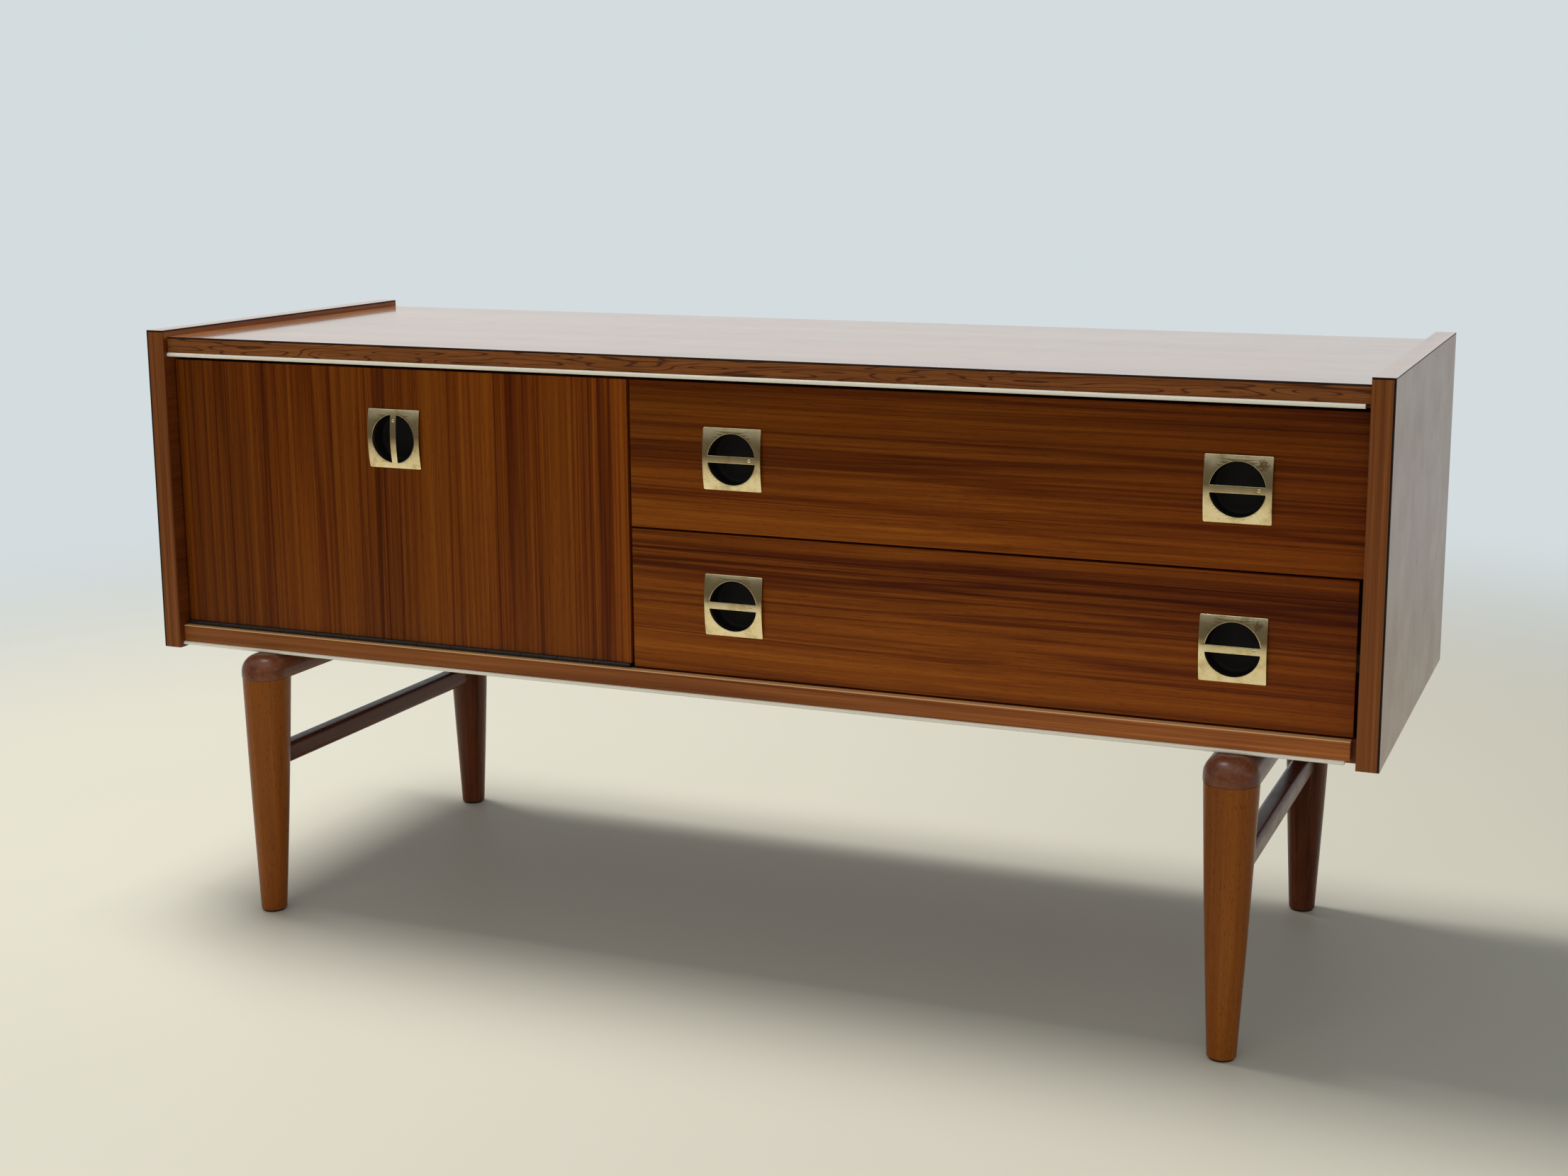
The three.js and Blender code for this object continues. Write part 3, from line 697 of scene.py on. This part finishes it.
def add_bearer(node, material):
    """A bar with half-round ends, its lower edge eased and its upper edge well rounded."""
    low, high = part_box(node)
    half = (high.x - low.x) / 2
    centre_x = (low.x + high.x) / 2
    ease = 1.2 * MM
    levels = []
    for i in range(5):
        a = math.pi / 2 * i / 4
        levels.append((ease * (1 - math.sin(a)), low.z + ease * (1 - math.cos(a))))
    for i in range(13):
        a = math.pi / 2 * i / 12
        rise = high.z - BEARER_ROUND + BEARER_ROUND * math.sin(a)
        levels.append((BEARER_ROUND * (1 - math.cos(a)), rise))
    rings = []
    for inset, z in levels:
        ring = []
        for centre_y, start in ((low.y + half, math.pi), (high.y - half, 0.0)):
            for i in range(25):
                a = start + math.pi * i / 24
                x = centre_x + (half - inset) * math.cos(a)
                ring.append(Vector((x, centre_y + (half - inset) * math.sin(a), z)))
        rings.append(ring)
    bm = bmesh.new()
    loft(bm, rings)
    add_piece(node.replace("bearer", "leg_bearer"), bm, material, "case", "frame_wood", node)


def add_stretcher(node, side, material):
    """The rail between a front leg and a back leg, with rounded edges and its ends in the legs."""
    low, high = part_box(node)
    u = Vector((1, 0, 0))
    v = Vector((0, 0, 1))
    middle = (low + high) / 2
    section = rounded_section(u, v, high.x - low.x, high.z - low.z, STRETCHER_ROUND)
    bm = bmesh.new()
    rings = []
    for y in (low.y + STRETCHER_TENON, high.y - STRETCHER_TENON):
        rings.append([Vector((middle.x, y, middle.z)) + p for p in section])
    loft(bm, rings)
    add_piece(f"leg_stretcher_{side}", bm, material, "case", "frame_wood", node)


# ---- Handles --------------------------------------------------------------------------------------

PLATE_THICK = 1.2 * MM
PLATE_EDGE = 0.35 * MM
OPENING_RADIUS = 23.15 * MM
BAR_WIDTH = 6.3 * MM
PLATE_CORNER = 1.0 * MM
PLATE_CUTS = 22
RIVET_OUT = 17.5 * MM
RIVET_SUNK = 0.5 * MM


def plate_outlines(half, upright):
    """The plate's outline and its two half-round openings, in the plate's own plane."""
    u = Vector((1, 0, 0))
    v = Vector((0, 1, 0))
    outer = rounded_section(u, v, 2 * half, 2 * half, PLATE_CORNER, 4)
    radius = OPENING_RADIUS + PLATE_EDGE
    chord = BAR_WIDTH / 2 - PLATE_EDGE
    reach = math.asin(chord / radius)
    opening = []
    steps = 40
    for i in range(steps + 1):
        a = reach + (math.pi - 2 * reach) * i / steps
        opening.append(Vector((radius * math.cos(a), radius * math.sin(a), 0)))
    outlines = [outer, opening, [-p for p in opening]]
    if upright:
        outlines[1:] = [[Vector((p.y, -p.x, 0)) for p in outline] for outline in outlines[1:]]
    return outlines


def flat_plate(outlines):
    """The outlines as a sheet with rounded edges, through a filled curve."""
    curve = bpy.data.curves.new("plate", "CURVE")
    curve.dimensions = "2D"
    curve.fill_mode = "BOTH"
    curve.extrude = PLATE_THICK / 2 - PLATE_EDGE
    curve.bevel_depth = PLATE_EDGE
    curve.bevel_resolution = 2
    for outline in outlines:
        spline = curve.splines.new("POLY")
        spline.points.add(len(outline) - 1)
        for point, place in zip(spline.points, outline):
            point.co = (place.x, place.y, 0, 1)
        spline.use_cyclic_u = True
    holder = bpy.data.objects.new("plate", curve)
    bpy.context.scene.collection.objects.link(holder)
    mesh = bpy.data.meshes.new_from_object(holder.evaluated_get(bpy.context.evaluated_depsgraph_get()))
    bpy.data.objects.remove(holder)
    bpy.data.curves.remove(curve)
    bm = bmesh.new()
    bm.from_mesh(mesh)
    bpy.data.meshes.remove(mesh)
    bmesh.ops.remove_doubles(bm, verts=bm.verts, dist=0.005 * MM)
    return bm


def bow_at(low, high, up):
    """How far a plate with these corners stands out, at a height above its middle."""
    half = (high.x - low.x) / 2
    rise = high.y - low.y - PLATE_THICK
    bend = (half * half + rise * rise) / (2 * rise)
    return math.sqrt(bend * bend - up * up) - (bend - rise)


def add_plate(node, body, upright, material):
    """The bowed brass plate: its back meets the front at the top and bottom edges only."""
    low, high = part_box(node)
    half = (high.x - low.x) / 2
    middle = (low + high) / 2
    bm = flat_plate(plate_outlines(half - PLATE_EDGE, upright))
    for i in range(1, PLATE_CUTS):
        everything = bm.verts[:] + bm.edges[:] + bm.faces[:]
        place = Vector((0, -half + 2 * half * i / PLATE_CUTS, 0))
        bmesh.ops.bisect_plane(bm, geom=everything, plane_co=place, plane_no=Vector((0, 1, 0)))
    for vert in bm.verts:
        x, y, z = vert.co
        outward = high.y - bow_at(low, high, y) - PLATE_THICK / 2 - z
        vert.co = (middle.x + x, outward, middle.z + y)
    place = node.replace("handle_plate", "brass_plate")
    add_piece(place, bm, material, body, "brass", node)


def add_pin(node, body, upright, material):
    """The small rivet at one end of the handle's bar."""
    low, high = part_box(node)
    middle = (low + high) / 2
    shift = Vector((0, 0, RIVET_OUT)) if upright else Vector((RIVET_OUT, 0, 0))
    front = high.y - bow_at(low, high, shift.z) - PLATE_THICK
    start = Vector((middle.x, front + RIVET_SUNK, middle.z)) + shift
    bm = bmesh.new()
    profile = ((1.5 * MM, 0.0), (1.5 * MM, 0.6 * MM), (1.2 * MM, 0.85 * MM), (0.6 * MM, 1.0 * MM))
    turned(bm, start, Vector((0, -1, 0)), profile, 24)
    add_piece(node.replace("handle_plate", "rivet"), bm, material, body, "brass")


def add_cup(node, body, material):
    """The black cup behind the plate, with a rounded rim and floor."""
    low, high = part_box(node)
    radius = (high.x - low.x) / 2
    depth = high.y - low.y
    wall = 1 * MM
    fillet = 4 * MM
    inside = radius - wall
    floor = depth - wall
    profile = [(inside - fillet - 6 * MM, floor)]
    for i in range(7):
        a = math.pi / 2 * i / 6
        profile.append((inside - fillet + fillet * math.sin(a), floor - fillet + fillet * math.cos(a)))
    profile += [(inside, 0.3 * MM), (inside + 0.3 * MM, 0.0), (radius - 0.3 * MM, 0.0)]
    profile += [(radius, 0.3 * MM), (radius, depth - 0.8 * MM), (radius - 0.8 * MM, depth)]
    middle = (low + high) / 2
    bm = bmesh.new()
    turned(bm, Vector((middle.x, low.y, middle.z)), Vector((0, 1, 0)), profile, 72)
    add_piece(node.replace("handle_cup", "finger_cup"), bm, material, body, "black_cup", node)


def stained_places():
    """A stain near the upper right corner of each right-hand plate."""
    places = []
    for level in ("upper", "lower"):
        low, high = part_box(f"drawer_{level}_handle_plate_right")
        places.append((high.x - STAIN_INSET, low.y + 2 * MM, high.z - STAIN_INSET))
    return places


def add_handles(metal, black):
    """The flap's handle, with an upright bar, and two on each drawer, with a level bar."""
    handles = [("flap", "", True)]
    for level in ("upper", "lower"):
        handles += [(f"drawer_{level}", f"_{side}", False) for side in ("left", "right")]
    for body, suffix, upright in handles:
        add_plate(f"{body}_handle_plate{suffix}", body, upright, metal)
        add_pin(f"{body}_handle_plate{suffix}", body, upright, metal)
        add_cup(f"{body}_handle_cup{suffix}", body, black)


# ---- Screws ---------------------------------------------------------------------------------------


def slotted_head(bm, centre, outward, radius, height, turn=0.0):
    """A screw head: a low disc that carries two raised halves, with the slot between them."""
    u = outward.orthogonal().normalized()
    v = outward.cross(u)
    spin = Matrix.Rotation(turn, 3, outward)
    u = spin @ u
    v = spin @ v
    turned(bm, centre, outward, ((radius, 0.0), (radius, 0.35 * height)), 24)
    slot = 0.16 * radius
    for way in (1, -1):
        rings = []
        for inset, place in ((0.0, 0.35), (0.0, 0.75), (0.14, 1.0)):
            size = radius * (1 - inset)
            start = math.asin(slot / size)
            ring = []
            for i in range(13):
                a = start + (math.pi - 2 * start) * i / 12
                flat = size * math.cos(a) * u + size * math.sin(a) * v
                ring.append(centre + way * flat + outward * height * place)
            rings.append(ring)
        loft(bm, rings)


# ---- Piano hinge ----------------------------------------------------------------------------------

KNUCKLE_RADIUS = 2 * MM
PIN_RADIUS = 1 * MM
KNUCKLES = 13
KNUCKLE_GAP = 0.3 * MM
LEAF_THICK = 0.8 * MM
HINGE_SCREWS = 7
HINGE_SCREW_RADIUS = 2.2 * MM
HINGE_SCREW_ROW = 10.5 * MM


def add_hinge(steel):
    """The piano hinge: a leaf with every second knuckle on each side, their screws and the pin."""
    low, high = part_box("hinge_pin")
    axis = (low + high) / 2
    length = high.x - low.x
    pitch = length / KNUCKLES
    along = Vector((1, 0, 0))
    leaves = (
        ("hinge_leaf_fixed", "case", 0, 1),
        ("hinge_leaf_moving", "flap", 1, -1),
    )
    for node, body, first, facing in leaves:
        leaf_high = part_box(node)[1]
        flat_z = leaf_high.z - LEAF_THICK if facing < 0 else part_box("bottom_panel")[1].z
        bm = bmesh.new()
        start = Vector((low.x, axis.y + 1.4 * MM, flat_z))
        end = Vector((high.x, leaf_high.y, flat_z + LEAF_THICK))
        block(bm, start, end, 0.15 * MM)
        for i in range(first, KNUCKLES, 2):
            base = Vector((low.x + i * pitch + KNUCKLE_GAP / 2, axis.y, axis.z))
            span = pitch - KNUCKLE_GAP
            ease = 0.25 * MM
            profile = ((KNUCKLE_RADIUS - ease, 0.0), (KNUCKLE_RADIUS, ease),
                       (KNUCKLE_RADIUS, span - ease), (KNUCKLE_RADIUS - ease, span))
            turned(bm, base, along, profile, 32)
        add_piece(node.replace("leaf", "wing"), bm, steel, body, "black_steel", node)

        bm = bmesh.new()
        head_z = flat_z + LEAF_THICK if facing > 0 else flat_z
        for i in range(HINGE_SCREWS):
            x = low.x + length * (i + 0.5) / HINGE_SCREWS
            place = Vector((x, axis.y + HINGE_SCREW_ROW, head_z - facing * 0.2 * MM))
            slotted_head(bm, place, Vector((0, 0, facing)), HINGE_SCREW_RADIUS, 0.45 * MM, 0.7 * i)
        add_piece(node.replace("leaf", "screws"), bm, steel, body, "black_steel")
    bm = bmesh.new()
    profile = ((PIN_RADIUS - 0.2 * MM, 0.0), (PIN_RADIUS, 0.2 * MM),
               (PIN_RADIUS, length - 0.2 * MM), (PIN_RADIUS - 0.2 * MM, length))
    turned(bm, Vector((low.x, axis.y, axis.z)), along, profile, 24)
    add_piece("hinge_wire", bm, steel, "case", "black_steel", "hinge_pin")


# ---- Stay, catch and drawer boxes -------------------------------------------------------------------


def dress_fittings(steel, black, wood):
    """Materials of the stay, the catch, the drawer boxes and their runners."""
    for node in ("stay_flap_bracket", "stay_base", "strike_plate"):
        dress(node, steel, 0.15 * MM)
    dress("stay_rod", steel, 0.1 * MM)
    dress("stay_guide", black, 0.3 * MM)
    dress("catch_body", black, 0.5 * MM)
    for level in ("upper", "lower"):
        for part in ("side_left", "side_right", "back", "bottom"):
            dress(f"drawer_{level}_{part}", wood, 0.5 * MM)
        for side in ("left", "right"):
            dress(f"runner_{level}_{side}", wood, 0.6 * MM)


def add_fitting_screws(steel):
    """Screws of the stay's bracket and base and of the strike plate."""
    bm = bmesh.new()
    low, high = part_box("stay_flap_bracket")
    foot_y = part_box("flap_panel")[1].y + 1.5 * MM
    for z in (low.z + 4.5 * MM, high.z - 4.5 * MM):
        place = Vector(((low.x + high.x) / 2 + 3 * MM, foot_y, z))
        slotted_head(bm, place, Vector((0, 1, 0)), 2.4 * MM, 0.9 * MM, z * 900)
    low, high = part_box("strike_plate")
    for x in (low.x + 6 * MM, high.x - 6 * MM):
        place = Vector((x, high.y, (low.z + high.z) / 2))
        slotted_head(bm, place, Vector((0, 1, 0)), 1.9 * MM, 0.4 * MM, x * 900)
    add_piece("flap_fitting_screws", bm, steel, "flap", "zinc_steel")

    bm = bmesh.new()
    low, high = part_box("stay_base")
    for y in (low.y + 3.5 * MM, high.y - 3.5 * MM):
        place = Vector((low.x + 1.5 * MM, y, (low.z + high.z) / 2))
        slotted_head(bm, place, Vector((1, 0, 0)), 1.9 * MM, 0.7 * MM, y * 900)
    add_piece("stay_base_screws", bm, steel, "case", "zinc_steel")


# ---- Studio -----------------------------------------------------------------------------------------

PALE_WALL = (0.655, 0.715, 0.735)
FLOOR_COLOUR = (0.60, 0.575, 0.485)
FLOOR_SHADE = (0.56, 0.54, 0.455)
FLOOR_HALF = 8.0
FLOOR_REACH = 4.0


def add_floor():
    """A plain pale floor that fades into the background some way from the sideboard."""
    bm = bmesh.new()
    bmesh.ops.create_grid(bm, x_segments=8, y_segments=8, size=FLOOR_HALF)
    shader = Shader("floor", specular=0.2)
    patches = shader.noise(shader.coords(), (1.3, 1.3, 1.3), 2.0, 0.5, 0.0)
    shader.colour(shader.blend("MIX", patches, FLOOR_COLOUR, FLOOR_SHADE))
    shader.roughness(0.55)
    away = shader.node("VectorMath", {0: shader.coords()}, operation="LENGTH").outputs["Value"]
    share = shader.math("MULTIPLY", away, 1 / FLOOR_REACH)
    fade = shader.ramp(share, ((0.26, 0.0), (0.62, 1.0)), smooth=True)
    clear = shader.node("BsdfTransparent").outputs[0]
    mixed = shader.node("MixShader", {0: fade, 1: shader.bsdf.outputs[0], 2: clear}).outputs[0]
    shader.feed(shader.tree.nodes["Material Output"].inputs["Surface"], mixed)
    made_object("floor", bm, shader.material)


def add_world():
    """A soft room: pale all round to the eye, and for light and reflections darker in front."""
    world = bpy.data.worlds.new("studio")
    bpy.context.scene.world = world
    world.use_nodes = True
    shader = Nodes(world.node_tree)
    background = shader.tree.nodes["Background"]
    ray = shader.node("TexCoord").outputs["Generated"]
    height = shader.math("MULTIPLY_ADD", shader.part(ray, 2), 0.5)
    height.node.inputs[2].default_value = 0.5
    front = ((0.0, (0.42, 0.39, 0.32)), (0.38, (0.42, 0.39, 0.32)), (0.44, (0.10, 0.085, 0.07)),
             (0.54, (0.12, 0.11, 0.095)), (0.62, (0.32, 0.33, 0.34)), (1.0, (0.3, 0.3, 0.3)))
    back = ((0.0, (0.45, 0.43, 0.38)), (0.47, (0.60, 0.62, 0.60)), (0.5, PALE_WALL), (0.6, PALE_WALL),
            (0.75, (0.28, 0.30, 0.31)), (1.0, (0.3, 0.3, 0.3)))
    depth = shader.math("MULTIPLY_ADD", shader.part(ray, 1), 1.4)
    depth.node.inputs[2].default_value = 0.6
    depth = shader.node("Clamp", {0: depth}).outputs[0]
    room = shader.blend("MIX", depth, shader.ramp(height, front), shader.ramp(height, back))
    paths = shader.node("LightPath").outputs
    sky = shader.ramp(height, ((0.74, 0.0), (0.9, 1.0)))
    sky = shader.math("MULTIPLY", sky, paths["Is Glossy Ray"])
    sky = shader.math("MULTIPLY", sky, shader.math("SUBTRACT", 1.0, depth))
    room = shader.blend("ADD", sky, room, (0.93, 0.95, 0.92))
    seen = paths["Is Camera Ray"]
    shader.feed(background.inputs["Color"], shader.blend("MIX", seen, room, PALE_WALL))
    background.inputs["Strength"].default_value = 1.0


def add_light(name, place, target, size, watts, colour):
    """A rectangular area light at a place, facing a target."""
    data = bpy.data.lights.new(name, "AREA")
    data.shape = "RECTANGLE"
    data.size, data.size_y = size
    data.energy = watts
    data.color = colour
    light = bpy.data.objects.new(name, data)
    bpy.context.scene.collection.objects.link(light)
    light.location = place
    light.rotation_euler = (Vector(target) - Vector(place)).to_track_quat("-Z", "Y").to_euler()
    return light


def add_lights():
    """A broad light over the left end and a wide soft one in front, left out of reflections."""
    add_light("ceiling", (-1.05, 0.25, 3.1), (0.0, -0.05, 0.2), (0.9, 1.7), 112, (1.0, 0.99, 0.96))
    window = add_light("window", (0.2, -3.6, 1.25), (0.0, 0.0, 0.4), (4.2, 1.5), 30, (1.0, 0.99, 0.97))
    window.visible_glossy = False
    bpy.context.scene.view_settings.view_transform = "Standard"


# ---- The sideboard ----------------------------------------------------------------------------------

add_camera()
back_leg_tones = wood_tones((0.075, 0.018, 0.006), (0.12, 0.032, 0.010), (0.17, 0.050, 0.016))
bearer_tones = wood_tones((0.105, 0.028, 0.010), (0.160, 0.047, 0.017), (0.225, 0.072, 0.027))
stretcher_tones = wood_tones((0.070, 0.018, 0.008), (0.115, 0.032, 0.014), (0.17, 0.052, 0.023))
top_tones = wood_tones((0.26, 0.095, 0.026), (0.36, 0.150, 0.050), (0.46, 0.210, 0.078))
side_tones = wood_tones((0.15, 0.050, 0.014), (0.22, 0.084, 0.026), (0.30, 0.120, 0.040))
woods = {
    "case_board": case_board(),
    "side_edge": side_edge(),
    "bottom_edge": rail_edge(),
    "veined_edge": veined_edge(),
    "top_laminate": laminate("top_laminate", "X", "Z", top_tones, (0.14, 0.2), 0.75, 33.0),
    "side_laminate": laminate("side_laminate", "Z", "X", side_tones, (0.22, 0.3), 0.15, 37.0),
    "cap_laminate": laminate("cap_laminate", "Y", "Z", top_tones, (0.16, 0.22), 0.6, 41.0),
    "hardboard": hardboard(),
}
dress_case(woods)
cream = mottled("cream_trim", (0.86, 0.82, 0.68), (0.93, 0.89, 0.75), (0.3, 0.4), frequency=500.0)
cup_tones = (0.006, 0.006, 0.006), (0.011, 0.010, 0.009)
black_plastic = mottled("black_cup", *cup_tones, (0.5, 0.65), specular=0.15)
dark_steel = mottled("black_steel", (0.018, 0.016, 0.015), (0.040, 0.036, 0.033), (0.3, 0.45), 0.6)
zinc = mottled("zinc_steel", (0.45, 0.45, 0.44), (0.60, 0.60, 0.58), (0.28, 0.42), 1.0)
add_trim("trim_top", cream)
add_trim("trim_bottom", cream)
add_back_nails(zinc)

front_leg_wood = leg_beech()
back_leg_wood = dark_beech("back_leg_beech", "Z", back_leg_tones, 0.05, 43.0)
bearer_wood = dark_beech("bearer_beech", "Y", bearer_tones, 0.45, 47.0)
stretcher_wood = dark_beech("stretcher_beech", "Y", stretcher_tones, 0.06, 49.0)
for side in ("left", "right"):
    add_leg(f"leg_front_{side}", front_leg_wood, black_plastic)
    add_leg(f"leg_back_{side}", back_leg_wood, black_plastic)
    add_bearer(f"bearer_{side}", bearer_wood)
    add_stretcher(f"stretcher_{side}", side, stretcher_wood)

dress("flap_panel", flap_teak(), 0.4 * MM)
drawer_wood = drawer_teak()
for level in ("upper", "lower"):
    dress(f"drawer_{level}_front", drawer_wood, 0.4 * MM)
add_handles(brass(stained_places()), black_plastic)
add_hinge(dark_steel)
dress_fittings(zinc, black_plastic, box_wood())
add_fitting_screws(zinc)

add_floor()
add_world()
add_lights()
